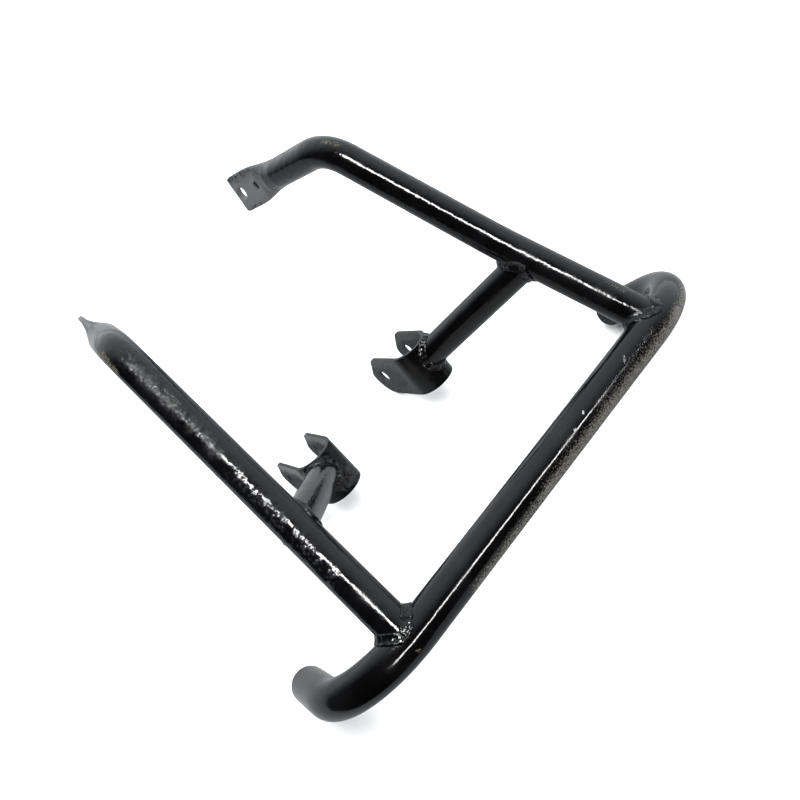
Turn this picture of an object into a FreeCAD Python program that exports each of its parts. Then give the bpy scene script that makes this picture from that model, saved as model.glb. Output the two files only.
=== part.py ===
import FreeCAD, Part
import math
import os
import Sketcher
from FreeCAD import Placement, Rotation, Vector

# Tubular front bumper: a cross tube with curled ends, two side rails that end in
# crushed bolt tabs, and two stub tubes that carry U-shaped clevis straps.
# Frame: X across the bumper, Y from the cross tube to the tails, Z up from the ground
# it rests on; origin at the middle of the footprint. Lengths in millimetres.

DIMENSIONS = [
    ("cross_diameter", 27.2, "outside of the front cross tube"),
    ("side_diameter", 25.4, "outside of the side rails"),
    ("stub_diameter", 24.6, "outside of the stub tubes"),
    ("tube_wall", 2.0, "wall of every tube"),
    ("cross_height", 91.0, "cross tube axis above the ground"),
    ("curl_half_width", 196.5, "middle of the bumper to the axis of a curled end"),
    ("curl_radius", 65.0, "bend radius of the curled ends, on the axis"),
    ("curl_drop", 42.7, "degrees a curled end points below level"),
    ("cap_thickness", 3.0, "disc that closes a curled end"),
    ("cap_clearance", 0.1, "cap to the bore of the tube"),
    ("side_half_spread", 141.0, "middle to the axis of a rail at the cross tube"),
    ("side_toe", 5.7, "degrees each rail leans to the middle"),
    ("side_rise", 24.7, "degrees the rails rise from the cross tube"),
    ("side_lean", 6.0, "degrees the plane of a rail leans to the middle"),
    ("side_length", 285.6, "cross tube axis to the corner of the tail bend"),
    ("sag_station", 127.5, "cross tube axis to the slight bend in a rail"),
    ("sag_depth", 4.0, "rail below its chord at the slight bend"),
    ("sag_radius", 400.0, "radius of the slight bend"),
    ("tail_turn", 50.2, "degrees of the tail from the chord of the rail"),
    ("tail_radius", 45.0, "radius of the tail bend, on the axis"),
    ("tail_length", 154.0, "corner of the tail bend to the end of the tab"),
    ("taper_length", 52.0, "run from round tube to flat tab"),
    ("tab_length", 28.0, "flat part of the tail"),
    ("tab_width", 36.0, "tab across"),
    ("tab_thickness", 5.0, "tab through both crushed walls"),
    ("tab_corner", 3.0, "rounding of the tab corners"),
    ("tab_twist", 7.0, "degrees the tab is turned about the tail, its lower edge to the middle"),
    ("crush_gap", 0.6, "slit left inside the tail where the walls meet"),
    ("bolt_hole", 13.0, "diameter of every bolt hole"),
    ("tab_hole_inset", 9.5, "bolt hole to the end of the tab"),
    ("vent_hole", 9.0, "diameter of the vent in the inner wall of the tail"),
    ("vent_inset", 42.0, "vent to the end of the tab"),
    ("stub_station", 102.0, "cross tube axis to the stub, along the rail"),
    ("clevis_half_spread", 61.8, "middle of the bumper to the middle of a clevis"),
    ("clevis_setback", 220.9, "cross tube axis to the clevis bolt, level"),
    ("clevis_drop", 26.3, "degrees the ears point below level"),
    ("clevis_gap", 31.0, "clear space between the ears"),
    ("strap_thickness", 3.0, "strap that makes the clevis"),
    ("strap_width", 41.0, "strap across, also twice the rounding under the bolt"),
    ("clevis_reach", 40.0, "centre of the strap bend to the bolt"),
    ("ear_slope", 21.5, "bolt to the sloped corner, along plus across"),
    ("ear_blend", 10.0, "rounding at both ends of the sloped corner"),
    ("cope_gap", 0.1, "fit-up gap at the end of a coped tube"),
    ("weld_leg", 4.5, "leg of every weld bead"),
    ("weld_seat", 0.15, "bead to the tubes it is laid on"),
]

doc = FreeCAD.newDocument("Bumper")
sheet = doc.addObject("Spreadsheet::Sheet", "Sizes")
for row, (alias, value, meaning) in enumerate(DIMENSIONS, start=1):
    sheet.set(f"A{row}", meaning)
    sheet.set(f"B{row}", str(value))
    sheet.setAlias(f"B{row}", alias)
doc.recompute()


def size(alias):
    """Value of one driving dimension."""
    return float(sheet.get(alias))


def sine(alias):
    return math.sin(math.radians(size(alias)))


def cosine(alias):
    return math.cos(math.radians(size(alias)))


def mirrored(vector, side):
    """The same vector on the right (side 1) or the left (side -1)."""
    return Vector(side * vector.x, vector.y, vector.z)


SIDES = {"left": -1, "right": 1}
X_AXIS = Vector(1, 0, 0)
Y_AXIS = Vector(0, 1, 0)
Z_AXIS = Vector(0, 0, 1)
CRUSH_STEPS = 4
BEAD_STATIONS = 48
BEAD_STEPS = 60
TAIL_TURN = "Sizes.tail_turn * 1deg"
CURL_DROP = "Sizes.curl_drop * 1deg"
CURL_LENGTH = f"(Sizes.cross_height - Sizes.cross_diameter / 2 * cos({CURL_DROP})) / sin({CURL_DROP})"
ROUND_LENGTH = "Sizes.tail_length - Sizes.tab_length - Sizes.taper_length"

# Directions of the right-hand rail: along its chord, down in its plane, and down its tail.
level_chord = Vector(-sine("side_toe"), cosine("side_toe"), 0)
plumb = Rotation(level_chord, size("side_lean")).multVec(Vector(0, 0, -1))
rake = Rotation(X_AXIS, size("side_rise"))
RAIL_CHORD = rake.multVec(level_chord)
RAIL_DOWN = rake.multVec(plumb)
RAIL_TAIL = RAIL_CHORD * cosine("tail_turn") + RAIL_DOWN * sine("tail_turn")
twist = Rotation(RAIL_TAIL, size("tab_twist"))
TAB_ACROSS = twist.multVec(RAIL_DOWN * cosine("tail_turn") - RAIL_CHORD * sine("tail_turn"))
TAB_NORMAL = twist.multVec(RAIL_CHORD.cross(RAIL_DOWN))

# The footprint is centred on Y from the front of the cross tube to the last corner of a tab.
tab_end = RAIL_CHORD * size("side_length") + RAIL_TAIL * size("tail_length")
corner_reach = (size("tab_width") / 2 - size("tab_corner")) * abs(TAB_ACROSS.y)
corner_round = size("tab_corner") * (math.hypot(RAIL_TAIL.y, TAB_ACROSS.y) - RAIL_TAIL.y)
rear_reach = tab_end.y + corner_reach + corner_round + size("tab_thickness") / 2 * abs(TAB_NORMAL.y)
CROSS_CENTRE = Vector(0, (size("cross_diameter") / 2 - rear_reach) / 2, size("cross_height"))


def origin_plane(body, role):
    return next(plane for plane in body.Origin.OriginFeatures if plane.Role == role)


def new_body(label, placement):
    body = doc.addObject("PartDesign::Body", label)
    body.Label = label
    body.Placement = placement
    return body


def new_sketch(body, name, role, offset=Placement()):
    """A sketch on one of the body's own origin planes."""
    sketch = body.newObject("Sketcher::SketchObject", f"{body.Name}_{name}")
    sketch.AttachmentSupport = [(origin_plane(body, role), "")]
    sketch.MapMode = "FlatFace"
    sketch.AttachmentOffset = offset
    return sketch


def line(sketch, start, end):
    return sketch.addGeometry(Part.LineSegment(Vector(*start, 0), Vector(*end, 0)), False)


def arc(sketch, centre, radius, first, last):
    """Counter-clockwise arc between two angles in degrees."""
    circle = Part.Circle(Vector(*centre, 0), Z_AXIS, radius)
    return sketch.addGeometry(Part.ArcOfCircle(circle, math.radians(first), math.radians(last)), False)


def mark(sketch, place):
    return sketch.addGeometry(Part.Point(Vector(*place, 0)), True)


def fix(sketch, *terms):
    return sketch.addConstraint(Sketcher.Constraint(*terms))


def drive(sketch, terms, expression):
    """A dimension of the sketch that follows the sheet."""
    sketch.setExpression(f"Constraints[{fix(sketch, *terms)}]", expression)


def add_circle(sketch, diameter, expression, centre=(0, 0), across=None, up=None):
    """A circle at the sketch origin, or at a driven place."""
    index = sketch.addGeometry(Part.Circle(Vector(*centre, 0), Z_AXIS, diameter / 2), False)
    drive(sketch, ("Diameter", index, diameter), expression)
    if across is None:
        fix(sketch, "Coincident", index, 3, -1, 1)
    else:
        drive(sketch, ("DistanceX", -1, 1, index, 3, centre[0]), across)
        drive(sketch, ("DistanceY", -1, 1, index, 3, centre[1]), up)
    return index


def bored(alias):
    return size(alias) - 2 * size("tube_wall")


def bore_expression(alias):
    return f"Sizes.{alias} - 2 * Sizes.tube_wall"


def pipe(body, name, kind, profile, path):
    feature = body.newObject(f"PartDesign::{kind}Pipe", f"{body.Name}_{name}")
    feature.Profile = profile
    feature.Spine = (path, [])
    return feature


def loft(body, name, kind, sections):
    feature = body.newObject(f"PartDesign::{kind}Loft", f"{body.Name}_{name}")
    feature.Profile = sections[0]
    feature.Sections = sections[1:]
    feature.Ruled = True
    return feature


def pad(body, name, sketch, expression, midplane=False):
    feature = body.newObject("PartDesign::Pad", f"{body.Name}_{name}")
    feature.Profile = sketch
    feature.setExpression("Length", expression)
    feature.Midplane = midplane
    return feature


def pocket(body, name, sketch, expression, reverse=False, midplane=False):
    feature = body.newObject("PartDesign::Pocket", f"{body.Name}_{name}")
    feature.Profile = sketch
    feature.setExpression("Length", expression)
    feature.Reversed = reverse
    feature.Midplane = midplane
    return feature


def along(centre, direction):
    """Placement whose local Z runs in the given direction."""
    return Placement(centre, Rotation(Z_AXIS, direction))


def cope(body, name, expression, placement, length):
    """Cut the end of a tube to sit on a round neighbour."""
    tool = body.newObject("PartDesign::SubtractiveCylinder", f"{body.Name}_{name}")
    tool.setExpression("Radius", f"{expression} + Sizes.cope_gap")
    tool.Height = length
    shift = Placement(Vector(0, 0, -length / 2), Rotation())
    tool.Placement = body.Placement.inverse().multiply(placement).multiply(shift)
    return tool


# Cross tube


def cross_placement():
    return Placement(CROSS_CENTRE, Rotation(X_AXIS, -size("curl_drop")))


def curl_length():
    return (size("cross_height") - size("cross_diameter") / 2 * cosine("curl_drop")) / sine("curl_drop")


def make_cross_bar(label, circles):
    """Round bar or tube bent like the cross tube, from its circles as diameter and expression."""
    body = new_body(label, cross_placement())
    half, radius, reach = size("curl_half_width"), size("curl_radius"), curl_length()
    path = new_sketch(body, "path", "XY_Plane")
    leg = line(path, (-half, reach), (-half, radius))
    bend = arc(path, (radius - half, radius), radius, 180, 270)
    front = line(path, (radius - half, 0), (half - radius, 0))
    far_bend = arc(path, (half - radius, radius), radius, 270, 360)
    far_leg = line(path, (half, radius), (half, reach))
    for first, second in ((leg, bend), (bend, front), (front, far_bend), (far_bend, far_leg)):
        fix(path, "Tangent", first, 2, second, 1)
    fix(path, "Horizontal", front)
    fix(path, "PointOnObject", front, 1, -1)
    fix(path, "Vertical", leg)
    fix(path, "Equal", bend, far_bend)
    fix(path, "Symmetric", leg, 1, far_leg, 2, -2)
    drive(path, ("Radius", bend, radius), "Sizes.curl_radius")
    drive(path, ("DistanceX", -1, 1, far_leg, 2, half), "Sizes.curl_half_width")
    drive(path, ("DistanceY", -1, 1, far_leg, 2, reach), CURL_LENGTH)
    ring = new_sketch(body, "ring", "XZ_Plane")
    ring.setExpression("AttachmentOffset.Base.x", "-Sizes.curl_half_width")
    ring.setExpression("AttachmentOffset.Base.z", f"-({CURL_LENGTH})")
    for diameter, expression in circles:
        add_circle(ring, diameter, expression)
    pipe(body, "tube", "Additive", ring, path)
    return body


def cross_axis_distance(point):
    """Distance of a point from the bent axis of the cross tube."""
    place = cross_placement().inverse().multVec(point)
    radius = size("curl_radius")
    past_bend = abs(place.x) - (size("curl_half_width") - radius)
    sideways = place.y
    if past_bend > 0:
        sideways = radius - math.hypot(past_bend, radius - place.y)
    return math.hypot(sideways, place.z)


def make_end_cap(name, side):
    seat = cross_placement().multVec(Vector(side * size("curl_half_width"), curl_length(), 0))
    body = new_body(f"end_cap_{name}", Placement(seat, Rotation(X_AXIS, -size("curl_drop"))))
    disc = new_sketch(body, "disc", "XZ_Plane")
    clearance = 2 * size("cap_clearance")
    add_circle(disc, bored("cross_diameter") - clearance,
               f"{bore_expression('cross_diameter')} - 2 * Sizes.cap_clearance")
    pad(body, "plate", disc, "Sizes.cap_thickness")
    return body


# Side rails


def rail_placement(side):
    chord, down = mirrored(RAIL_CHORD, side), mirrored(RAIL_DOWN, side)
    root = CROSS_CENTRE + Vector(side * size("side_half_spread"), 0, 0)
    return Placement(root, Rotation(chord, down, chord.cross(down), "XYZ"))


def rail_bend(before, corner, after, radius):
    """Centre, tangent points and sense of the arc that rounds one corner."""
    arriving = (corner - before).normalize()
    leaving = (after - corner).normalize()
    turn = arriving.getAngle(leaving)
    sense = 1 if arriving.cross(leaving).z > 0 else -1
    setback = radius * math.tan(turn / 2)
    start = corner - arriving * setback
    finish = corner + leaving * setback
    centre = start + Vector(-arriving.y, arriving.x, 0) * (sense * radius)
    return start, finish, centre, sense


def heading(centre, point):
    return math.degrees(math.atan2(point.y - centre.y, point.x - centre.x))


def rail_path(body):
    """Centre line of a rail: a slight bend, the tail bend, and the round part of the tail."""
    corner = Vector(size("side_length"), 0, 0)
    sag = Vector(size("sag_station"), size("sag_depth"), 0)
    tail = Vector(cosine("tail_turn"), sine("tail_turn"), 0)
    round_length = size("tail_length") - size("tab_length") - size("taper_length")
    end = corner + tail * round_length
    in_one, out_one, centre_one, _ = rail_bend(Vector(), sag, corner, size("sag_radius"))
    in_two, out_two, centre_two, _ = rail_bend(sag, corner, end, size("tail_radius"))
    path = new_sketch(body, "path", "XY_Plane")
    first = line(path, (0, 0), (in_one.x, in_one.y))
    slight = arc(path, (centre_one.x, centre_one.y), size("sag_radius"),
                 heading(centre_one, out_one), heading(centre_one, in_one))
    second = line(path, (out_one.x, out_one.y), (in_two.x, in_two.y))
    bend = arc(path, (centre_two.x, centre_two.y), size("tail_radius"),
               heading(centre_two, in_two), heading(centre_two, out_two))
    third = line(path, (out_two.x, out_two.y), (end.x, end.y))
    sag_mark = mark(path, (sag.x, sag.y))
    corner_mark = mark(path, (corner.x, corner.y))
    fix(path, "Coincident", first, 1, -1, 1)
    fix(path, "Tangent", first, 2, slight, 2)
    fix(path, "Tangent", slight, 1, second, 1)
    fix(path, "Tangent", second, 2, bend, 1)
    fix(path, "Tangent", bend, 2, third, 1)
    fix(path, "PointOnObject", sag_mark, 1, first)
    fix(path, "PointOnObject", sag_mark, 1, second)
    fix(path, "PointOnObject", corner_mark, 1, second)
    fix(path, "PointOnObject", corner_mark, 1, third)
    fix(path, "PointOnObject", corner_mark, 1, -1)
    drive(path, ("DistanceX", -1, 1, sag_mark, 1, sag.x), "Sizes.sag_station")
    drive(path, ("DistanceY", -1, 1, sag_mark, 1, sag.y), "Sizes.sag_depth")
    drive(path, ("DistanceX", -1, 1, corner_mark, 1, corner.x), "Sizes.side_length")
    drive(path, ("Radius", slight, size("sag_radius")), "Sizes.sag_radius")
    drive(path, ("Radius", bend, size("tail_radius")), "Sizes.tail_radius")
    drive(path, ("DistanceX", corner_mark, 1, third, 2, end.x - corner.x),
          f"({ROUND_LENGTH}) * cos({TAIL_TURN})")
    drive(path, ("DistanceY", corner_mark, 1, third, 2, end.y),
          f"({ROUND_LENGTH}) * sin({TAIL_TURN})")
    return path


def tail_station(distance, turn):
    """Sketch placement across the tail, at a distance from the corner of its bend and turned about it."""
    place = Vector(distance * sine("tail_turn"), 0, size("side_length") + distance * cosine("tail_turn"))
    return Placement(place, Rotation(Y_AXIS, size("tail_turn")) * Rotation(Z_AXIS, turn))


def tail_section(body, name, station, half_width, half_thickness, end_radius):
    """Closed section across the tail: two end arcs joined by two broad arcs, or by straight sides."""
    sketch = new_sketch(body, name, "YZ_Plane", station)
    inset = half_width - end_radius
    spare = half_thickness - end_radius
    if spare > 0:
        broad_radius = (inset ** 2 + half_thickness ** 2 - end_radius ** 2) / (2 * spare)
        drop = broad_radius - half_thickness
        opening = math.degrees(math.atan2(drop, inset))
        arc(sketch, (inset, 0), end_radius, -opening, opening)
        arc(sketch, (0, -drop), broad_radius, opening, 180 - opening)
        arc(sketch, (-inset, 0), end_radius, 180 - opening, 180 + opening)
        arc(sketch, (0, drop), broad_radius, 180 + opening, 360 - opening)
    else:
        arc(sketch, (inset, 0), end_radius, -90, 90)
        line(sketch, (inset, half_thickness), (-inset, half_thickness))
        arc(sketch, (-inset, 0), end_radius, 90, 270)
        line(sketch, (-inset, -half_thickness), (inset, -half_thickness))
    for edge, following in ((0, 1), (1, 2), (2, 3), (3, 0)):
        fix(sketch, "Coincident", edge, 2, following, 1)
    return sketch


def round_section(body, name, station, radius):
    """The round tube as four arcs, parted where the crushed section has its corners."""
    sketch = new_sketch(body, name, "YZ_Plane", station)
    edge = math.pi * size("tab_thickness") / 2
    flat = size("tab_width") - size("tab_thickness")
    opening = 90 * edge / (edge + flat)
    parting = (-opening, opening, 180 - opening, 180 + opening, 360 - opening)
    for first, last in zip(parting, parting[1:]):
        arc(sketch, (0, 0), radius, first, last)
    for edge, following in ((0, 1), (1, 2), (2, 3), (3, 0)):
        fix(sketch, "Coincident", edge, 2, following, 1)
    return sketch


def crush_sections(body, name, wall, turn, end_half_width, end_half_thickness):
    """Sections of the tail from round to flat, inside or outside its wall."""
    start = size("tail_length") - size("tab_length") - size("taper_length")
    radius = size("side_diameter") / 2 - wall
    sections = [round_section(body, f"{name}_0", tail_station(start, turn), radius)]
    for step in range(1, CRUSH_STEPS + 1):
        share = step / CRUSH_STEPS
        crush = (1 - math.cos(math.pi * share)) / 2
        half_width = radius + (end_half_width - radius) * crush
        half_thickness = radius + (end_half_thickness - radius) * crush
        end_radius = half_thickness * (half_thickness / half_width) ** (1 - crush)
        station = tail_station(start + size("taper_length") * share, turn)
        sections.append(tail_section(body, f"{name}_{step}", station, half_width, half_thickness, end_radius))
    return sections


def tab_plane(turn):
    """Sketch placement in the plane of the tab: X down the tail from the corner of its bend."""
    return Placement(Vector(size("side_length"), 0, 0), Rotation(Z_AXIS, size("tail_turn")) * Rotation(X_AXIS, turn))


def tail_hole(body, name, turn, inset, alias):
    """Sketch of one round hole on the middle line of the tail."""
    sketch = new_sketch(body, name, "XY_Plane", tab_plane(turn))
    add_circle(sketch, size(alias), f"Sizes.{alias}", (size("tail_length") - size(inset), 0),
               f"Sizes.tail_length - Sizes.{inset}", "0")
    return sketch


def tab_corners(body, turn):
    """Sketch of the two square corners that are cut from the end of the tab."""
    sketch = new_sketch(body, "corners", "XY_Plane", tab_plane(turn))
    end, radius, half = size("tail_length"), size("tab_corner"), size("tab_width") / 2
    for edge, angles in ((1, (0, 90)), (-1, (270, 360))):
        outline = [
            (end, edge * (half - radius)),
            (end + radius, edge * (half - radius)),
            (end + radius, edge * (half + radius)),
            (end - radius, edge * (half + radius)),
            (end - radius, edge * half),
        ]
        sides = [line(sketch, first, second) for first, second in zip(outline, outline[1:])]
        for first, second in zip(sides, sides[1:]):
            fix(sketch, "Coincident", first, 2, second, 1)
        rounding = arc(sketch, (end - radius, edge * (half - radius)), radius, *angles)
        at_end, at_side = (1, 2) if edge > 0 else (2, 1)
        fix(sketch, "Coincident", rounding, at_end, sides[0], 1)
        fix(sketch, "Coincident", rounding, at_side, sides[-1], 2)
        drive(sketch, ("Radius", rounding, radius), "Sizes.tab_corner")
    return sketch


def make_side_tube(name, side, coping_bar):
    label = f"side_tube_{name}"
    body = new_body(f"{label}_rail", rail_placement(side))
    path = rail_path(body)
    wall, turn = size("tube_wall"), side * size("tab_twist")
    slope = math.degrees(math.atan2(size("sag_depth"), size("sag_station")))
    square = Placement(Vector(), Rotation(Y_AXIS, slope))
    ring = new_sketch(body, "ring", "YZ_Plane", square)
    add_circle(ring, size("side_diameter"), "Sizes.side_diameter")
    pipe(body, "tube", "Additive", ring, path)
    tab = (size("tab_width") / 2, size("tab_thickness") / 2)
    outside = crush_sections(body, "outside", 0, turn, *tab)
    outside.append(tail_section(body, "tab_end", tail_station(size("tail_length"), turn), *tab, tab[1]))
    loft(body, "tail", "Additive", outside)
    bore = new_sketch(body, "bore_ring", "YZ_Plane", square)
    add_circle(bore, bored("side_diameter"), bore_expression("side_diameter"))
    pipe(body, "bore", "Subtractive", bore, path)
    slit = (size("tab_width") / 2 - wall, size("crush_gap") / 2)
    loft(body, "cavity", "Subtractive", crush_sections(body, "inside", wall, turn, *slit))
    pocket(body, "bolt_hole", tail_hole(body, "bolt", turn, "tab_hole_inset", "bolt_hole"),
           "4 * Sizes.tab_thickness", midplane=True)
    pocket(body, "vent", tail_hole(body, "vent_circle", turn, "vent_inset", "vent_hole"),
           "Sizes.side_diameter", reverse=side > 0)
    pocket(body, "corner_cut", tab_corners(body, turn), "4 * Sizes.tab_thickness", midplane=True)
    side_tube = doc.addObject("Part::Cut", label)
    side_tube.Label = label
    side_tube.Base = body
    side_tube.Tool = coping_bar
    return side_tube


# Clevis straps


def clevis_placement(side):
    """Centre of the strap bend; local Y runs to the ears, local Z across the strap."""
    bolt = Vector(side * size("clevis_half_spread"), CROSS_CENTRE.y + size("clevis_setback"),
                  size("strap_width") / 2)
    turn = Rotation(X_AXIS, -size("clevis_drop"))
    return Placement(bolt - turn.multVec(Y_AXIS) * size("clevis_reach"), turn)


def strap_section(body):
    """The strap seen along its width: two legs joined by a half round."""
    inner = size("clevis_gap") / 2
    outer = inner + size("strap_thickness")
    end = size("clevis_reach") + size("strap_width")
    sketch = new_sketch(body, "bend", "XY_Plane")
    edges = [
        line(sketch, (-outer, end), (-outer, 0)),
        arc(sketch, (0, 0), outer, 180, 360),
        line(sketch, (outer, 0), (outer, end)),
        line(sketch, (outer, end), (inner, end)),
        line(sketch, (inner, end), (inner, 0)),
        arc(sketch, (0, 0), inner, 180, 360),
        line(sketch, (-inner, 0), (-inner, end)),
        line(sketch, (-inner, end), (-outer, end)),
    ]
    for first, second in ((0, 1), (1, 2)):
        fix(sketch, "Tangent", edges[first], 2, edges[second], 1)
    fix(sketch, "Tangent", edges[4], 2, edges[5], 2)
    fix(sketch, "Tangent", edges[5], 1, edges[6], 1)
    for first, second in ((2, 3), (3, 4), (6, 7), (7, 0)):
        fix(sketch, "Coincident", edges[first], 2, edges[second], 1)
    for centre in (1, 5):
        fix(sketch, "Coincident", edges[centre], 3, -1, 1)
    for upright in (0, 6):
        fix(sketch, "Vertical", edges[upright])
    for level in (3, 7):
        fix(sketch, "Horizontal", edges[level])
    drive(sketch, ("Radius", edges[5], inner), "Sizes.clevis_gap / 2")
    drive(sketch, ("Radius", edges[1], outer), "Sizes.clevis_gap / 2 + Sizes.strap_thickness")
    drive(sketch, ("DistanceY", -1, 1, edges[2], 2, end), "Sizes.clevis_reach + Sizes.strap_width")
    return sketch


def ear_outline(body):
    """The strap seen from the side: round under the bolt, sloped on top, with the bolt hole."""
    half, reach = size("strap_width") / 2, size("clevis_reach")
    slope, blend = size("ear_slope"), size("ear_blend")
    back = -size("clevis_gap")
    bolt = Vector(reach, 0, 0)
    diagonal = Vector(1, 1, 0).normalize()
    down_slope = Vector(1, -1, 0).normalize()
    slope_distance = slope / math.sqrt(2)
    top_centre = Vector(reach + slope - half - blend * math.tan(math.pi / 8), half - blend, 0)
    top_finish = top_centre + diagonal * blend
    along_slope = math.sqrt((half - blend) ** 2 - (slope_distance - blend) ** 2)
    nose_centre = bolt + diagonal * (slope_distance - blend) + down_slope * along_slope
    nose_start = nose_centre + diagonal * blend
    nose_angle = heading(bolt, nose_centre)
    sketch = new_sketch(body, "outline", "YZ_Plane")
    edges = [
        line(sketch, (back, -half), (reach, -half)),
        arc(sketch, (reach, 0), half, -90, nose_angle),
        arc(sketch, (nose_centre.x, nose_centre.y), blend, nose_angle, 45),
        line(sketch, (nose_start.x, nose_start.y), (top_finish.x, top_finish.y)),
        arc(sketch, (top_centre.x, top_centre.y), blend, 45, 90),
        line(sketch, (top_centre.x, half), (back, half)),
        line(sketch, (back, half), (back, -half)),
    ]
    for first, second in ((0, 1), (1, 2), (2, 3), (3, 4), (4, 5)):
        fix(sketch, "Tangent", edges[first], 2, edges[second], 1)
    for first, second in ((5, 6), (6, 0)):
        fix(sketch, "Coincident", edges[first], 2, edges[second], 1)
    fix(sketch, "Horizontal", edges[0])
    fix(sketch, "Horizontal", edges[5])
    fix(sketch, "PointOnObject", edges[1], 3, -1)
    drive(sketch, ("Radius", edges[1], half), "Sizes.strap_width / 2")
    drive(sketch, ("Radius", edges[2], blend), "Sizes.ear_blend")
    drive(sketch, ("Radius", edges[4], blend), "Sizes.ear_blend")
    drive(sketch, ("DistanceX", -1, 1, edges[1], 3, reach), "Sizes.clevis_reach")
    add_circle(sketch, size("bolt_hole"), "Sizes.bolt_hole", (reach, 0), "Sizes.clevis_reach", "0")
    return sketch


def make_clevis(name, side):
    label = f"clevis_{name}"
    strap = new_body(f"{label}_strap", clevis_placement(side))
    pad(strap, "width", strap_section(strap), "2 * Sizes.strap_width", midplane=True)
    blank = new_body(f"{label}_blank", clevis_placement(side))
    pad(blank, "breadth", ear_outline(blank), "2 * Sizes.clevis_gap", midplane=True)
    clevis = doc.addObject("Part::Common", label)
    clevis.Label = label
    clevis.Base = strap
    clevis.Tool = blank
    return clevis


# Stub tubes


def rail_root(side):
    """Axis of the rail between the cross tube and the slight bend."""
    slope = Vector(size("sag_station"), size("sag_depth"), 0).normalize()
    place = rail_placement(side)
    return place.Base, place.Rotation.multVec(slope)


def stub_ends(side):
    """From the axis of the rail to the centre of the strap bend."""
    root, direction = rail_root(side)
    return root + direction * size("stub_station"), clevis_placement(side).Base


def make_stub_tube(name, side):
    start, finish = stub_ends(side)
    direction = rail_root(side)[1]
    body = new_body(f"stub_tube_{name}", along(start, finish - start))
    ring = new_sketch(body, "ring", "XY_Plane")
    add_circle(ring, size("stub_diameter"), "Sizes.stub_diameter")
    add_circle(ring, bored("stub_diameter"), bore_expression("stub_diameter"))
    pad(body, "tube", ring, f"{(finish - start).Length}")
    cope(body, "rail_cope", "Sizes.side_diameter / 2", along(start, direction), 4 * size("side_diameter"))
    bend = clevis_placement(side)
    cope(body, "strap_cope", "Sizes.clevis_gap / 2 + Sizes.strap_thickness",
         along(bend.Base, bend.Rotation.multVec(Z_AXIS)), 4 * size("strap_width"))
    return body


# Weld beads


def outward(distance, point):
    """Direction in which the distance from a tube's axis grows."""
    probe = size("weld_seat")
    growth = [distance(point + axis * probe) - distance(point - axis * probe) for axis in (X_AXIS, Y_AXIS, Z_AXIS)]
    return Vector(*growth).normalize()


def seated(point, distance, radius):
    """The point moved to lie on a tube, with the gap that a bead keeps."""
    return point + outward(distance, point) * (radius + size("weld_seat") - distance(point))


def saddle(start, branch, branch_radius, header_distance, header_radius):
    """Points round the curve where a branch tube leaves a round header, found from outside."""
    side = branch.cross(X_AXIS).normalize()
    up = branch.cross(side)
    points = []
    for index in range(BEAD_STATIONS):
        angle = 2 * math.pi * index / BEAD_STATIONS
        foot = start + (side * math.cos(angle) + up * math.sin(angle)) * branch_radius
        travel = 2 * (branch_radius + header_radius)
        for _ in range(BEAD_STEPS):
            travel = max(travel - header_distance(foot + branch * travel) + header_radius, 0)
        points.append(foot + branch * travel)
    return points


def make_weld(label, start, branch, branch_radius, header_distance, header_radius):
    """Bead lofted round the joint of two tubes, from a convex section with a toe on each."""
    leg, seat = size("weld_leg"), size("weld_seat")

    def branch_distance(point):
        return point.distanceToLine(start, branch)

    points = saddle(start, branch, branch_radius, header_distance, header_radius)
    sections = []
    for index, point in enumerate(points):
        travel = (points[(index + 1) % BEAD_STATIONS] - points[index - 1]).normalize()
        off_branch, off_header = outward(branch_distance, point), outward(header_distance, point)
        up_branch = off_branch.cross(travel)
        up_branch = up_branch * math.copysign(1, up_branch.dot(branch))
        along_header = off_header.cross(travel)
        along_header = along_header * math.copysign(1, along_header.dot(off_branch))
        crown = (off_branch + off_header).normalize()
        root = point + (off_branch + off_header) * seat
        sections.append(Part.makePolygon([
            root,
            seated(root + up_branch * leg, branch_distance, branch_radius),
            root + (up_branch + crown).normalize() * leg,
            root + (along_header + crown).normalize() * leg,
            seated(root + along_header * leg, header_distance, header_radius),
            root,
        ]))
    weld = doc.addObject("Part::Feature", label)
    weld.Label = label
    weld.Shape = Part.makeLoft(sections, True, True, True)
    return weld


def make_welds(name, side):
    root, direction = rail_root(side)
    start, finish = stub_ends(side)
    stub = (finish - start).normalize()
    across = clevis_placement(side).Rotation.multVec(Z_AXIS)
    side_radius, stub_radius = size("side_diameter") / 2, size("stub_diameter") / 2
    strap_radius = size("clevis_gap") / 2 + size("strap_thickness")

    def rail_distance(point):
        return point.distanceToLine(root, direction)

    def strap_distance(point):
        return point.distanceToLine(finish, across)

    return [
        make_weld(f"side_weld_{name}", root, direction, side_radius,
                  cross_axis_distance, size("cross_diameter") / 2),
        make_weld(f"stub_weld_{name}", start, stub, stub_radius, rail_distance, side_radius),
        make_weld(f"clevis_weld_{name}", finish, stub * -1, stub_radius, strap_distance, strap_radius),
    ]


def check(items):
    for item in doc.Objects:
        if "Invalid" in item.State or "Error" in item.State:
            raise RuntimeError(f"{item.Name} failed: {item.State}")
    for item in items:
        if item.Shape.isNull() or not item.Shape.isValid():
            raise RuntimeError(f"{item.Label} has no valid shape")


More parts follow.
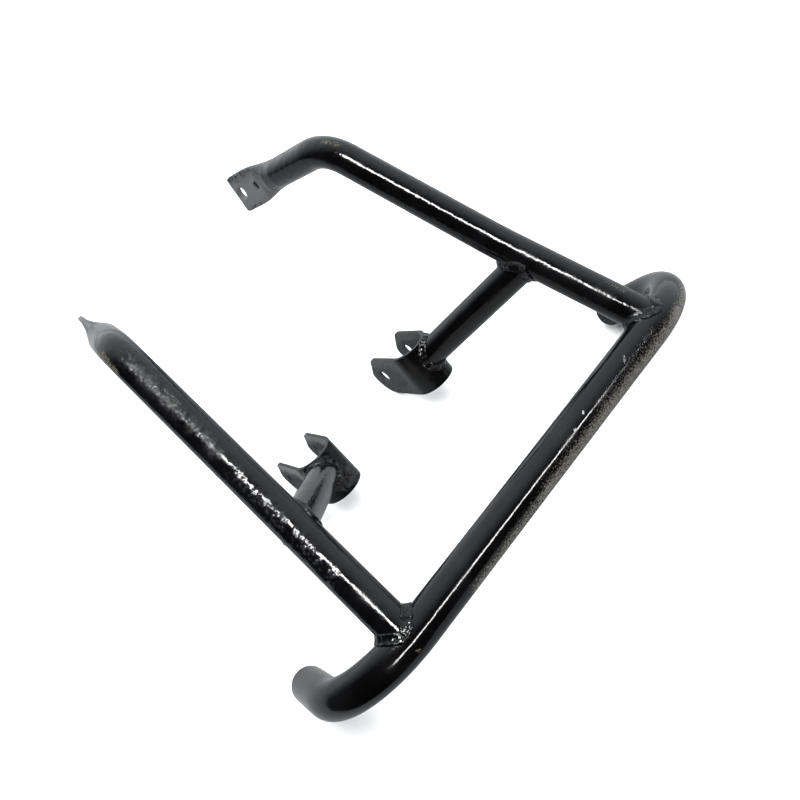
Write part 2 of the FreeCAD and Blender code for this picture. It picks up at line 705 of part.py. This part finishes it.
cross_outside = (size("cross_diameter"), "Sizes.cross_diameter")
cross_bore = (bored("cross_diameter"), bore_expression("cross_diameter"))
coped_outside = (size("cross_diameter") + 2 * size("cope_gap"), "Sizes.cross_diameter + 2 * Sizes.cope_gap")
coping_bar = make_cross_bar("coping_bar", [coped_outside])
nodes = [make_cross_bar("cross_tube", [cross_outside, cross_bore])]
for name, side in SIDES.items():
    nodes += [
        make_end_cap(name, side),
        make_side_tube(name, side, coping_bar),
        make_clevis(name, side),
        make_stub_tube(name, side),
        *make_welds(name, side),
    ]
doc.recompute()
check(nodes)
os.makedirs("parts", exist_ok=True)
for node in nodes:
    node.Shape.exportStep(f"parts/{node.Label}.step")
    print(node.Label, len(node.Shape.Solids), round(node.Shape.Volume, 1))
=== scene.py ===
"""Looks of a tubular front bumper: worn gloss black paint, lumpy weld beads, pale floor, soft light."""

import math

import bmesh
import bpy
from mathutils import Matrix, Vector


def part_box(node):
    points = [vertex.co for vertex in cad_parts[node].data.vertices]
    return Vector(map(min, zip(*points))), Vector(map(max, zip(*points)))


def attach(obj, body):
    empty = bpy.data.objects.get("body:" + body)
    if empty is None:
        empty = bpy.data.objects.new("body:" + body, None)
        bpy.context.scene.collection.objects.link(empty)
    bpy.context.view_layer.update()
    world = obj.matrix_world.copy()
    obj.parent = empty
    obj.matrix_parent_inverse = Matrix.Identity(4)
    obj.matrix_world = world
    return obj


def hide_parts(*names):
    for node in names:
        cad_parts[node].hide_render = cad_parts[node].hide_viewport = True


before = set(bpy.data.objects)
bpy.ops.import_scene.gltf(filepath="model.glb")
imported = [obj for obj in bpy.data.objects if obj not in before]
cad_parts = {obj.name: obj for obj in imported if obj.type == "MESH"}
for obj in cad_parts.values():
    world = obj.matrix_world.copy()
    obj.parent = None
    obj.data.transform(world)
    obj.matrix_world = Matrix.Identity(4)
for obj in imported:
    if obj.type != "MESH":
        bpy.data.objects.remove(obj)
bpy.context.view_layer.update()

# Colours of the finish, of what shows where it has worn through, and of painted reflection and painted sheen.
BLACK = (0.0014, 0.0014, 0.0016, 1)
TAN = (0.18, 0.165, 0.137, 1)
OCHRE = (0.15, 0.115, 0.062, 1)
CHIP_GREY = (0.42, 0.43, 0.45, 1)
RUST = (0.055, 0.027, 0.012, 1)
# Painted reflection: grey laid evenly on the flattened tabs where they would mirror the bright floor.
TAB_FLOOR_REFLECTION_GREY = (0.105, 0.112, 0.116, 1)
# Painted reflection: grey laid on the clevis ears and strap back where they would mirror the bright floor.
EAR_FLOOR_REFLECTION_GREY = (0.026, 0.029, 0.0303, 1)
# Painted sheen: grey-blue laid on the tops of the pebbles of the left rail.
PEBBLE_SHEEN_GREY = (0.015, 0.0155, 0.02, 1)

# Paint: its index of refraction, the scale of its smears per metre, how much lighter and rougher they are,
# the scale per metre at which the pebbles break off, how high they stand against the waves of the paint, and
# how much rougher and lower bare places, and the places of painted reflection, are.
PAINT_IOR = 1.37
SMEAR_SCALE = 38.0
SMEAR_LIFT = 2.2
SMEAR_ROUGHNESS = 0.1
BREAK_SCALE = 90.0
PEBBLE_RISE = 2.6
BARE_ROUGHNESS = 0.5
BARE_DROP = 0.5

# Weld beads, in metres: merge distance and edge length of the mesh, gap to the walls at the toes, gap from
# which a bead is drawn in by its share alone, gap from which its lumps have their full height.
BEAD_MERGE = 1e-8
BEAD_MESH = 0.00035
TOE_GAP = 0.0003
CROWN_GAP = 0.0015
LUMP_GAP = 0.002

# Weld beads: lean of the ripples in radians per metre, scale of the lumps per metre, and rounds of smoothing
# of the drawing in.
RIPPLE_LEAN = 260.0
LUMP_SCALE = 210.0
SMOOTHING = 8

# The floor: its corners to the side and to the back in metres, and its colour as seen and in the gloss.
FLOOR_CORNERS = ((-1.3, -0.36), (0.6, -0.36), (0.6, 1.7), (-1.3, 1.7))
FLOOR_SEEN = (0.9, 0.9, 0.9, 1)
FLOOR_IN_GLOSS = (0.24, 0.245, 0.25, 1)

# The room: its tint, its bright side, and its level at the dark side, at the bright side and as seen.
ROOM_TINT = (0.86, 0.94, 1.0, 1)
BRIGHT_SIDE = (0.62, 0.62, 0.3)
DARK_LEVEL = 0.02
BRIGHT_LEVEL = 1.6
SEEN_LEVEL = 1.2

# The camera of the photo: focal length and sensor in millimetres, place in metres, turn in degrees.
CAMERA_LENS = 39.3387
CAMERA_SENSOR = 36
CAMERA_PLACE = (-0.206472, -0.462246, 0.569265)
CAMERA_TURN = (39.5265, 19.0331, -48.8535)

# Each worn place, and each grey place of painted reflection on the tabs and clevises, is a run on the
# surface: start, end and reach in millimetres, grain per metre, cover (above one it fills the middle of the
# run), softness of its specks, colour.
CROSS_WEAR = [
    ((152, -206, 93), (-10, -208, 92), 15, 850, 0.92, 0.8, TAN),
    ((-10, -208, 92), (-90, -208, 90), 12, 850, 0.8, 0.7, TAN),
    ((152, -206, 93), (176, -194, 86), 13, 700, 0.9, 0.7, TAN),
    ((125, -202, 101), (55, -204, 101), 5, 1500, 0.3, 0.25, CHIP_GREY),
    ((96, -199, 104), (93, -201, 103), 2.6, 1900, 0.5, 0.3, CHIP_GREY),
    ((45, -199.5, 103.6), (43.5, -200.2, 103.3), 1.6, 1700, 0.8, 0.25, CHIP_GREY),
    ((31, -202, 102), (30, -202.6, 102), 1.8, 1700, 0.8, 0.25, CHIP_GREY),
    ((-144, -205, 97), (-143, -206, 96), 2.5, 1100, 0.75, 0.4, OCHRE),
]
LEFT_RAIL_WEAR_AND_REFLECTION = [
    ((-120, 66, 213), (-125, 48, 208), 7, 650, 0.75, 0.6, OCHRE),
    ((-115.7, 10, 197), (-116.5, -4, 191), 3.5, 1300, 0.5, 0.3, TAN),
    # Painted reflection: the flattened tab is greyed evenly as if it mirrored the bright floor.
    ((-92, 165, 158), (-92, 205, 141), 34, 260, 1.6, 0.9, TAB_FLOOR_REFLECTION_GREY),
]
RIGHT_RAIL_WEAR_AND_REFLECTION = [
    ((111, 60, 217), (114, 46, 215), 6, 800, 0.55, 0.6, OCHRE),
    ((140, -160, 119), (141, -172, 114), 4, 1100, 0.45, 0.4, OCHRE),
    ((112, -30, 168), (113, -36, 166), 3, 1100, 0.5, 0.4, OCHRE),
    # Painted reflection: the flattened tab is greyed evenly as if it mirrored the bright floor.
    ((92, 165, 158), (92, 205, 141), 34, 260, 1.6, 0.9, TAB_FLOOR_REFLECTION_GREY),
]
# The ear runs and the first run on the strap back are painted reflection, greyed as if they mirrored the
# bright floor; the last run is rust.
STRAP_WEAR_AND_REFLECTION = [
    ((ear, 40, 12), (ear, 8, 30), 27, 260, 1.6, 0.9, EAR_FLOOR_REFLECTION_GREY) for ear in (-80.3, -43.3, 43.3, 80.3)
] + [
    ((-74, -30, 40), (-46, -30, 36), 22, 260, 0.9, 0.9, EAR_FLOOR_REFLECTION_GREY),
    ((-62, -31, 43), (-52, -31, 38), 8, 700, 0.6, 0.6, RUST),
]
WELD_WEAR = [
    ((60, -33, 36), (52, -33, 34), 8, 800, 0.6, 0.5, TAN),
    ((-66, -33, 40), (-52, -31, 38), 8, 800, 0.6, 0.5, RUST),
    ((150, -188, 104), (136, -186, 106), 6, 1400, 0.4, 0.3, CHIP_GREY),
]

# Runs where the paint of the left rail has wrinkled into pebbles: start, end and reach in millimetres,
# dullness.
PEBBLED_RUNS = [
    ((-114, 45, 213), (-126, -40, 172), 10, 0.36),
    ((-129, -58, 164), (-142, -142, 122), 10, 0.16),
]

# Every weld bead: the axis of the tube it is laid round, how many ripples go round it, and the two nodes
# that it joins, with the side left open.
BEADS = {
    "side_weld": ((-0.1, 0.9, 0.42), 26, "side_tube_{}", "cross_tube"),
    "stub_weld": ((-0.55, 0.5, -0.67), 25, "stub_tube_{}", "side_tube_{}"),
    "clevis_weld": ((-0.55, 0.5, -0.67), 24, "stub_tube_{}", "clevis_{}"),
}


def metres(point):
    return tuple(value / 1000 for value in point)


def new_group(name, kind, inputs, outputs):
    """A node group with its named sockets; gives the tree, its input node and its output node."""
    tree = bpy.data.node_groups.new(name, kind)
    for title, socket, value in inputs:
        made = tree.interface.new_socket(title, in_out="INPUT", socket_type=socket)
        if value is not None:
            made.default_value = value
    for title, socket in outputs:
        tree.interface.new_socket(title, in_out="OUTPUT", socket_type=socket)
    return tree, tree.nodes.new("NodeGroupInput"), tree.nodes.new("NodeGroupOutput")


def feed(tree, socket, value):
    """Joins an output to a socket, or sets the socket's own value."""
    if isinstance(value, bpy.types.NodeSocket):
        tree.links.new(value, socket)
    else:
        socket.default_value = value


def maths(tree, operation, *values, clamp=False):
    node = tree.nodes.new("ShaderNodeMath")
    node.operation = operation
    node.use_clamp = clamp
    for socket, value in zip(node.inputs, values):
        feed(tree, socket, value)
    return node.outputs["Value"]


def vectors(tree, operation, *values, scale=None):
    node = tree.nodes.new("ShaderNodeVectorMath")
    node.operation = operation
    for socket, value in zip(node.inputs, values):
        feed(tree, socket, value)
    if scale is not None:
        feed(tree, node.inputs["Scale"], scale)
    single = operation in ("DOT_PRODUCT", "DISTANCE", "LENGTH")
    return node.outputs["Value" if single else "Vector"]


def remap(tree, value, low, high, to_low=0.0, to_high=1.0, kind="SMOOTHSTEP"):
    node = tree.nodes.new("ShaderNodeMapRange")
    node.interpolation_type = kind
    for title, part in zip(("Value", "From Min", "From Max", "To Min", "To Max"),
                           (value, low, high, to_low, to_high)):
        feed(tree, node.inputs[title], part)
    return node.outputs["Result"]


def noise(tree, position, scale, detail=2.0, roughness=0.5):
    node = tree.nodes.new("ShaderNodeTexNoise")
    feed(tree, node.inputs["Vector"], position)
    feed(tree, node.inputs["Scale"], scale)
    node.inputs["Detail"].default_value = detail
    node.inputs["Roughness"].default_value = roughness
    return node.outputs["Fac"]


def run_fade(tree, position, start, end, reach):
    """One on the line from start to end, falling to nothing at the reach."""
    along = vectors(tree, "SUBTRACT", end, start)
    away = vectors(tree, "SUBTRACT", position, start)
    share = maths(tree, "DIVIDE", vectors(tree, "DOT_PRODUCT", away, along),
                  vectors(tree, "DOT_PRODUCT", along, along), clamp=True)
    nearest = vectors(tree, "SCALE", along, scale=share)
    return remap(tree, vectors(tree, "DISTANCE", away, nearest), reach, 0.0)


def wear_and_reflection_run_group():
    """Where the paint has gone along a run, and where a grey painted reflection is laid along one: whole in
    the middle, broken into specks towards its edge.
    """
    tree, given, result = new_group(
        "worn_run", "ShaderNodeTree",
        [("Position", "NodeSocketVector", None), ("Start", "NodeSocketVector", None),
         ("End", "NodeSocketVector", None), ("Reach", "NodeSocketFloat", 0.01),
         ("Grain", "NodeSocketFloat", 600.0), ("Cover", "NodeSocketFloat", 0.8),
         ("Softness", "NodeSocketFloat", 0.3)],
        [("Mask", "NodeSocketFloat")])
    take = given.outputs
    fade = run_fade(tree, take["Position"], take["Start"], take["End"], take["Reach"])
    grains = noise(tree, take["Position"], take["Grain"], detail=5.0, roughness=0.7)
    speck = remap(tree, grains, 0.3, 0.7, kind="LINEAR")
    level = maths(tree, "SUBTRACT", 1.0, maths(tree, "MULTIPLY", fade, take["Cover"]))
    feed(tree, result.inputs["Mask"], remap(tree, speck, maths(tree, "SUBTRACT", level, 0.05),
                                            maths(tree, "ADD", level, take["Softness"])))
    return tree


def orange_peel_group():
    """The slow waves and fine skin of thick sprayed paint."""
    tree, given, result = new_group(
        "orange_peel", "ShaderNodeTree",
        [("Position", "NodeSocketVector", None), ("Waves", "NodeSocketFloat", 140.0),
         ("Skin", "NodeSocketFloat", 700.0), ("Skin Share", "NodeSocketFloat", 0.25)],
        [("Height", "NodeSocketFloat"), ("Smear", "NodeSocketFloat")])
    take = given.outputs
    skin = maths(tree, "MULTIPLY", noise(tree, take["Position"], take["Skin"]), take["Skin Share"])
    feed(tree, result.inputs["Height"],
         maths(tree, "ADD", noise(tree, take["Position"], take["Waves"]), skin))
    clouds = noise(tree, take["Position"], SMEAR_SCALE, detail=4.0)
    feed(tree, result.inputs["Smear"], remap(tree, clouds, 0.38, 0.7))
    return tree


def pebble_group():
    """Paint that has drawn up into small round pebbles along a run, with a painted sheen on their tops."""
    tree, given, result = new_group(
        "pebbled_paint", "ShaderNodeTree",
        [("Position", "NodeSocketVector", None), ("Start", "NodeSocketVector", None),
         ("End", "NodeSocketVector", None), ("Reach", "NodeSocketFloat", 0.006),
         ("Pebbles", "NodeSocketFloat", 390.0)],
        [("Height", "NodeSocketFloat"), ("Mask", "NodeSocketFloat"), ("Tops", "NodeSocketFloat")])
    take = given.outputs
    fade = run_fade(tree, take["Position"], take["Start"], take["End"], take["Reach"])
    breaks = noise(tree, take["Position"], BREAK_SCALE)
    edge = maths(tree, "MULTIPLY", fade, remap(tree, breaks, 0.3, 0.55))
    cells = tree.nodes.new("ShaderNodeTexVoronoi")
    cells.feature = "SMOOTH_F1"
    feed(tree, cells.inputs["Vector"], take["Position"])
    feed(tree, cells.inputs["Scale"], take["Pebbles"])
    dome = maths(tree, "SUBTRACT", 1.0, cells.outputs["Distance"])
    feed(tree, result.inputs["Height"], maths(tree, "MULTIPLY", dome, edge))
    feed(tree, result.inputs["Mask"], edge)
    # The tops of the pebbles are given a painted sheen.
    feed(tree, result.inputs["Tops"], maths(tree, "MULTIPLY", edge, remap(tree, dome, 0.5, 0.72)))
    return tree


WEAR_AND_REFLECTION_RUN = wear_and_reflection_run_group()
ORANGE_PEEL = orange_peel_group()
PEBBLED = pebble_group()


def place_group(tree, group, **values):
    """A group set in a material, with its sockets by name."""
    node = tree.nodes.new("ShaderNodeGroup")
    node.node_tree = group
    for title, value in values.items():
        feed(tree, node.inputs[title], value)
    return node


def mix_colour(tree, share, first, second):
    node = tree.nodes.new("ShaderNodeMix")
    node.data_type = "RGBA"
    feed(tree, node.inputs["Factor"], share)
    feed(tree, node.inputs["A"], first)
    feed(tree, node.inputs["B"], second)
    return node.outputs["Result"]


def painted(name, colour, gloss, wear_and_reflection=(), pebbled=(), waves=140.0, depth=0.00022):
    """Sprayed paint on steel, worn away along some of the given runs and greyed as a painted reflection along
    others, with a painted sheen on pebble tops.
    """
    material = bpy.data.materials.new(name)
    material.use_nodes = True
    tree = material.node_tree
    surface = tree.nodes["Principled BSDF"]
    position = tree.nodes.new("ShaderNodeTexCoord").outputs["Object"]
    peel = place_group(tree, ORANGE_PEEL, Position=position, Waves=waves)
    smeared = tuple(SMEAR_LIFT * part for part in colour[:3]) + (1,)
    shade = mix_colour(tree, peel.outputs["Smear"], colour, smeared)
    height = peel.outputs["Height"]
    bare_and_reflection = dull = None
    # Each run lays its colour: bare metal, rust or chips where worn, and on the tab and ear runs a grey
    # painted reflection.
    for start, end, reach, grain, cover, soft, laid_colour in wear_and_reflection:
        mask = place_group(tree, WEAR_AND_REFLECTION_RUN, Position=position, Start=metres(start), End=metres(end),
                           Reach=reach / 1000, Grain=grain, Cover=cover, Softness=soft).outputs["Mask"]
        shade = mix_colour(tree, mask, shade, laid_colour)
        bare_and_reflection = mask if bare_and_reflection is None else maths(tree, "MAXIMUM", bare_and_reflection, mask)
    for start, end, reach, dullness in pebbled:
        patch = place_group(tree, PEBBLED, Position=position, Start=metres(start), End=metres(end),
                            Reach=reach / 1000)
        height = maths(tree, "ADD", height, maths(tree, "MULTIPLY", patch.outputs["Height"], PEBBLE_RISE))
        # Painted sheen: the pebble tops are tinted a lighter grey-blue.
        shade = mix_colour(tree, patch.outputs["Tops"], shade, PEBBLE_SHEEN_GREY)
        faded = maths(tree, "MULTIPLY", patch.outputs["Mask"], dullness)
        dull = faded if dull is None else maths(tree, "MAXIMUM", dull, faded)
    rough = remap(tree, peel.outputs["Smear"], 0.0, 1.0, gloss, gloss + SMEAR_ROUGHNESS)
    if dull is not None:
        rough = maths(tree, "ADD", rough, dull)
    if bare_and_reflection is not None:
        rough = maths(tree, "ADD", rough, maths(tree, "MULTIPLY", bare_and_reflection, BARE_ROUGHNESS), clamp=True)
        height = maths(tree, "SUBTRACT", height, maths(tree, "MULTIPLY", bare_and_reflection, BARE_DROP))
    bump = tree.nodes.new("ShaderNodeBump")
    bump.inputs["Strength"].default_value = 1.0
    bump.inputs["Distance"].default_value = depth
    feed(tree, bump.inputs["Height"], height)
    feed(tree, surface.inputs["Base Color"], shade)
    feed(tree, surface.inputs["Roughness"], rough)
    feed(tree, surface.inputs["Normal"], bump.outputs["Normal"])
    surface.inputs["IOR"].default_value = PAINT_IOR
    return material


def bead_tree():
    """Geometry of a weld bead: the plain bead drawn in to its two walls, with lumps and ripples."""
    tree, given, result = new_group(
        "rippled_bead", "GeometryNodeTree",
        [("Plain Bead", "NodeSocketGeometry", None), ("Branch", "NodeSocketObject", None),
         ("Header", "NodeSocketObject", None), ("Hollow", "NodeSocketFloat", 0.55),
         ("Sunk", "NodeSocketFloat", 1.6), ("Centre", "NodeSocketVector", None),
         ("Tube Axis", "NodeSocketVector", None), ("First Ripple", "NodeSocketVector", None),
         ("Ripples", "NodeSocketFloat", 24.0), ("Ripple Height", "NodeSocketFloat", 0.00004),
         ("Lump Height", "NodeSocketFloat", 0.003), ("Seed", "NodeSocketFloat", 1.0),
         ("Paint", "NodeSocketMaterial", None)],
        [("Bead", "NodeSocketGeometry")])
    take = given.outputs
    position = tree.nodes.new("GeometryNodeInputPosition").outputs["Position"]
    normal = tree.nodes.new("GeometryNodeInputNormal").outputs["Normal"]
    walls = tree.nodes.new("GeometryNodeJoinGeometry")
    for title in ("Branch", "Header"):
        wall = tree.nodes.new("GeometryNodeObjectInfo")
        wall.transform_space = "RELATIVE"
        feed(tree, wall.inputs["Object"], take[title])
        feed(tree, walls.inputs["Geometry"], wall.outputs["Geometry"])
    near = tree.nodes.new("GeometryNodeProximity")
    near.target_element = "FACES"
    feed(tree, near.inputs["Geometry"], walls.outputs["Geometry"])
    gap = near.outputs["Distance"]
    share = remap(tree, gap, TOE_GAP, CROWN_GAP, take["Sunk"], take["Hollow"])
    pull = tree.nodes.new("GeometryNodeBlurAttribute")
    pull.data_type = "FLOAT_VECTOR"
    pull.inputs["Iterations"].default_value = SMOOTHING
    to_wall = vectors(tree, "SUBTRACT", near.outputs["Position"], position)
    feed(tree, pull.inputs["Value"], vectors(tree, "SCALE", to_wall, scale=share))
    arm = vectors(tree, "SUBTRACT", position, take["Centre"])
    second = vectors(tree, "CROSS_PRODUCT", take["Tube Axis"], take["First Ripple"])
    angle = maths(tree, "ARCTAN2", vectors(tree, "DOT_PRODUCT", arm, second),
                  vectors(tree, "DOT_PRODUCT", arm, take["First Ripple"]))
    lean = maths(tree, "MULTIPLY", vectors(tree, "LENGTH", arm), RIPPLE_LEAN)
    turns = maths(tree, "MULTIPLY", angle, take["Ripples"])
    wave = maths(tree, "SINE", maths(tree, "ADD", turns, lean))
    ripple = maths(tree, "MULTIPLY", wave, take["Ripple Height"])
    lumps = tree.nodes.new("ShaderNodeTexNoise")
    lumps.noise_dimensions = "4D"
    lumps.inputs["Scale"].default_value = LUMP_SCALE
    feed(tree, lumps.inputs["Vector"], position)
    feed(tree, lumps.inputs["W"], take["Seed"])
    centred = maths(tree, "SUBTRACT", lumps.outputs["Fac"], 0.5)
    lump = maths(tree, "MULTIPLY", centred, take["Lump Height"])
    moved = tree.nodes.new("GeometryNodeSetPosition")
    feed(tree, moved.inputs["Geometry"], take["Plain Bead"])
    relief = maths(tree, "MULTIPLY", maths(tree, "ADD", ripple, lump), remap(tree, gap, TOE_GAP, LUMP_GAP))
    raised = vectors(tree, "SCALE", normal, scale=relief)
    feed(tree, moved.inputs["Offset"], vectors(tree, "ADD", pull.outputs["Value"], raised))
    smooth = tree.nodes.new("GeometryNodeSetShadeSmooth")
    feed(tree, smooth.inputs["Geometry"], moved.outputs["Geometry"])
    whole = tree.nodes.new("GeometryNodeRealizeInstances")
    feed(tree, whole.inputs["Geometry"], smooth.outputs["Geometry"])
    coat = tree.nodes.new("GeometryNodeSetMaterial")
    feed(tree, coat.inputs["Geometry"], whole.outputs["Geometry"])
    feed(tree, coat.inputs["Material"], take["Paint"])
    feed(tree, result.inputs["Bead"], coat.outputs["Geometry"])
    return tree


def socket_id(tree, title):
    return next(item.identifier for item in tree.interface.items_tree
                if item.name == title and item.in_out == "INPUT")


def plain_bead(node):
    """The bead's own solid as one closed mesh."""
    mesh = bpy.data.meshes.new(node + "_plain")
    form = bmesh.new()
    form.from_mesh(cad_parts[node].data)
    bmesh.ops.remove_doubles(form, verts=form.verts, dist=BEAD_MERGE)
    bmesh.ops.recalc_face_normals(form, faces=form.faces)
    form.to_mesh(mesh)
    form.free()
    return mesh


def lay_bead(tree, node, axis, ripples, walls, seed, paint):
    """A lumpy bead in the place of its plain solid."""
    low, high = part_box(node)
    axis = Vector(axis).normalized()
    first = axis.orthogonal().normalized()
    raw = bpy.data.objects.new(node + "_raw", plain_bead(node))
    bpy.context.scene.collection.objects.link(raw)
    skin = raw.modifiers.new("even_skin", "REMESH")
    skin.mode = "VOXEL"
    skin.voxel_size = BEAD_MESH
    maker = raw.modifiers.new("ripples", "NODES")
    maker.node_group = tree
    for title, value in (("Branch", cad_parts[walls[0]]), ("Header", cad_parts[walls[1]]),
                         ("Centre", (low + high) / 2), ("Tube Axis", axis), ("First Ripple", first),
                         ("Ripples", float(ripples)), ("Seed", float(seed)), ("Paint", paint)):
        maker[socket_id(tree, title)] = value
    graph = bpy.context.evaluated_depsgraph_get()
    mesh = bpy.data.meshes.new_from_object(raw.evaluated_get(graph), depsgraph=graph)
    mesh.name = node + "_bead"
    bead = bpy.data.objects.new(node + "_bead", mesh)
    bpy.context.scene.collection.objects.link(bead)
    bpy.data.objects.remove(raw)
    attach(bead, "root")
    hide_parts(node)


def dress():
    """Gives every solid of the bumper its finish, and lays the weld beads."""
    tube_paint = painted("tube_paint", BLACK, 0.09)
    strap_paint = painted("strap_paint", BLACK, 0.16, STRAP_WEAR_AND_REFLECTION, depth=0.00012)
    weld_paint = painted("weld_paint", BLACK, 0.1, WELD_WEAR, waves=260.0)
    finishes = {
        "cross_tube": painted("cross_tube_paint", BLACK, 0.08, CROSS_WEAR, waves=90.0, depth=0.00014),
        "side_tube_left": painted("left_rail_paint", BLACK, 0.09, LEFT_RAIL_WEAR_AND_REFLECTION, PEBBLED_RUNS, depth=0.0003),
        "side_tube_right": painted("right_rail_paint", BLACK, 0.09, RIGHT_RAIL_WEAR_AND_REFLECTION, depth=0.0003),
        "clevis_left": strap_paint,
        "clevis_right": strap_paint,
    }
    beads = bead_tree()
    for name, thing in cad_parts.items():
        kind, _, side = name.rpartition("_")
        if kind in BEADS:
            (across, along, up), ripples, *walls = BEADS[kind]
            turned = (across if side == "right" else -across, along, up)
            joined = [wall.format(side) for wall in walls]
            lay_bead(beads, name, turned, ripples, joined, len(name), weld_paint)
        else:
            thing.data.materials.clear()
            thing.data.materials.append(finishes.get(name, tube_paint))


def set_stage():
    """Pale floor, and a room that looks pale and lights the bumper from one side."""
    across = Vector((0.59, -0.807, 0))
    back = Vector((0.807, 0.59, 0))
    corners = [across * side + back * depth for side, depth in FLOOR_CORNERS]
    mesh = bpy.data.meshes.new("pale_floor")
    mesh.from_pydata(corners, [], [(0, 1, 2, 3)])
    floor = bpy.data.objects.new("pale_floor", mesh)
    bpy.context.scene.collection.objects.link(floor)
    material = bpy.data.materials.new("pale_floor")
    material.use_nodes = True
    tree = material.node_tree
    surface = tree.nodes["Principled BSDF"]
    in_gloss = tree.nodes.new("ShaderNodeLightPath").outputs["Is Glossy Ray"]
    feed(tree, surface.inputs["Base Color"], mix_colour(tree, in_gloss, FLOOR_SEEN, FLOOR_IN_GLOSS))
    surface.inputs["Roughness"].default_value = 0.8
    mesh.materials.append(material)
    world = bpy.data.worlds.new("studio")
    bpy.context.scene.world = world
    world.use_nodes = True
    tree = world.node_tree
    away = tree.nodes.new("ShaderNodeTexCoord").outputs["Generated"]
    facing = vectors(tree, "DOT_PRODUCT", away, tuple(Vector(BRIGHT_SIDE).normalized()))
    grey = remap(tree, facing, -0.05, 0.75, DARK_LEVEL, BRIGHT_LEVEL)
    seen = tree.nodes.new("ShaderNodeLightPath").outputs["Is Camera Ray"]
    level = maths(tree, "MAXIMUM", grey, maths(tree, "MULTIPLY", seen, SEEN_LEVEL))
    feed(tree, tree.nodes["Background"].inputs["Strength"], level)
    tree.nodes["Background"].inputs["Color"].default_value = ROOM_TINT


def soft_light(name, place, turn, wide, high, power, mirrored=True):
    """A soft panel of light, which either shows as a shape in the gloss or lights the rest."""
    data = bpy.data.lights.new(name, "AREA")
    data.shape = "RECTANGLE"
    data.size = wide
    data.size_y = high
    data.energy = power
    lamp = bpy.data.objects.new(name, data)
    lamp.location = place
    lamp.rotation_euler = [math.radians(angle) for angle in turn]
    lamp.visible_glossy = mirrored
    lamp.visible_diffuse = not mirrored
    bpy.context.scene.collection.objects.link(lamp)


def set_lights():
    soft_light("ceiling_panel", (0.1, 0.1, 2.4), (0, 0, 0), 3.4, 3.4, 190, mirrored=False)
    soft_light("top_strip", (-0.4, -0.3, 1.5), (0, 0, 8), 0.19, 0.75, 36)
    soft_light("front_strip", (-0.35, -2.3, 2.0), (49, 0, 0), 3.6, 0.24, 140)


def set_camera():
    data = bpy.data.cameras.new("photo_camera")
    data.lens = CAMERA_LENS
    data.sensor_width = CAMERA_SENSOR
    camera = bpy.data.objects.new("photo_camera", data)
    camera.location = CAMERA_PLACE
    camera.rotation_euler = [math.radians(angle) for angle in CAMERA_TURN]
    bpy.context.scene.collection.objects.link(camera)
    bpy.context.scene.camera = camera
    bpy.context.scene.view_settings.view_transform = "Standard"


dress()
set_stage()
set_lights()
set_camera()
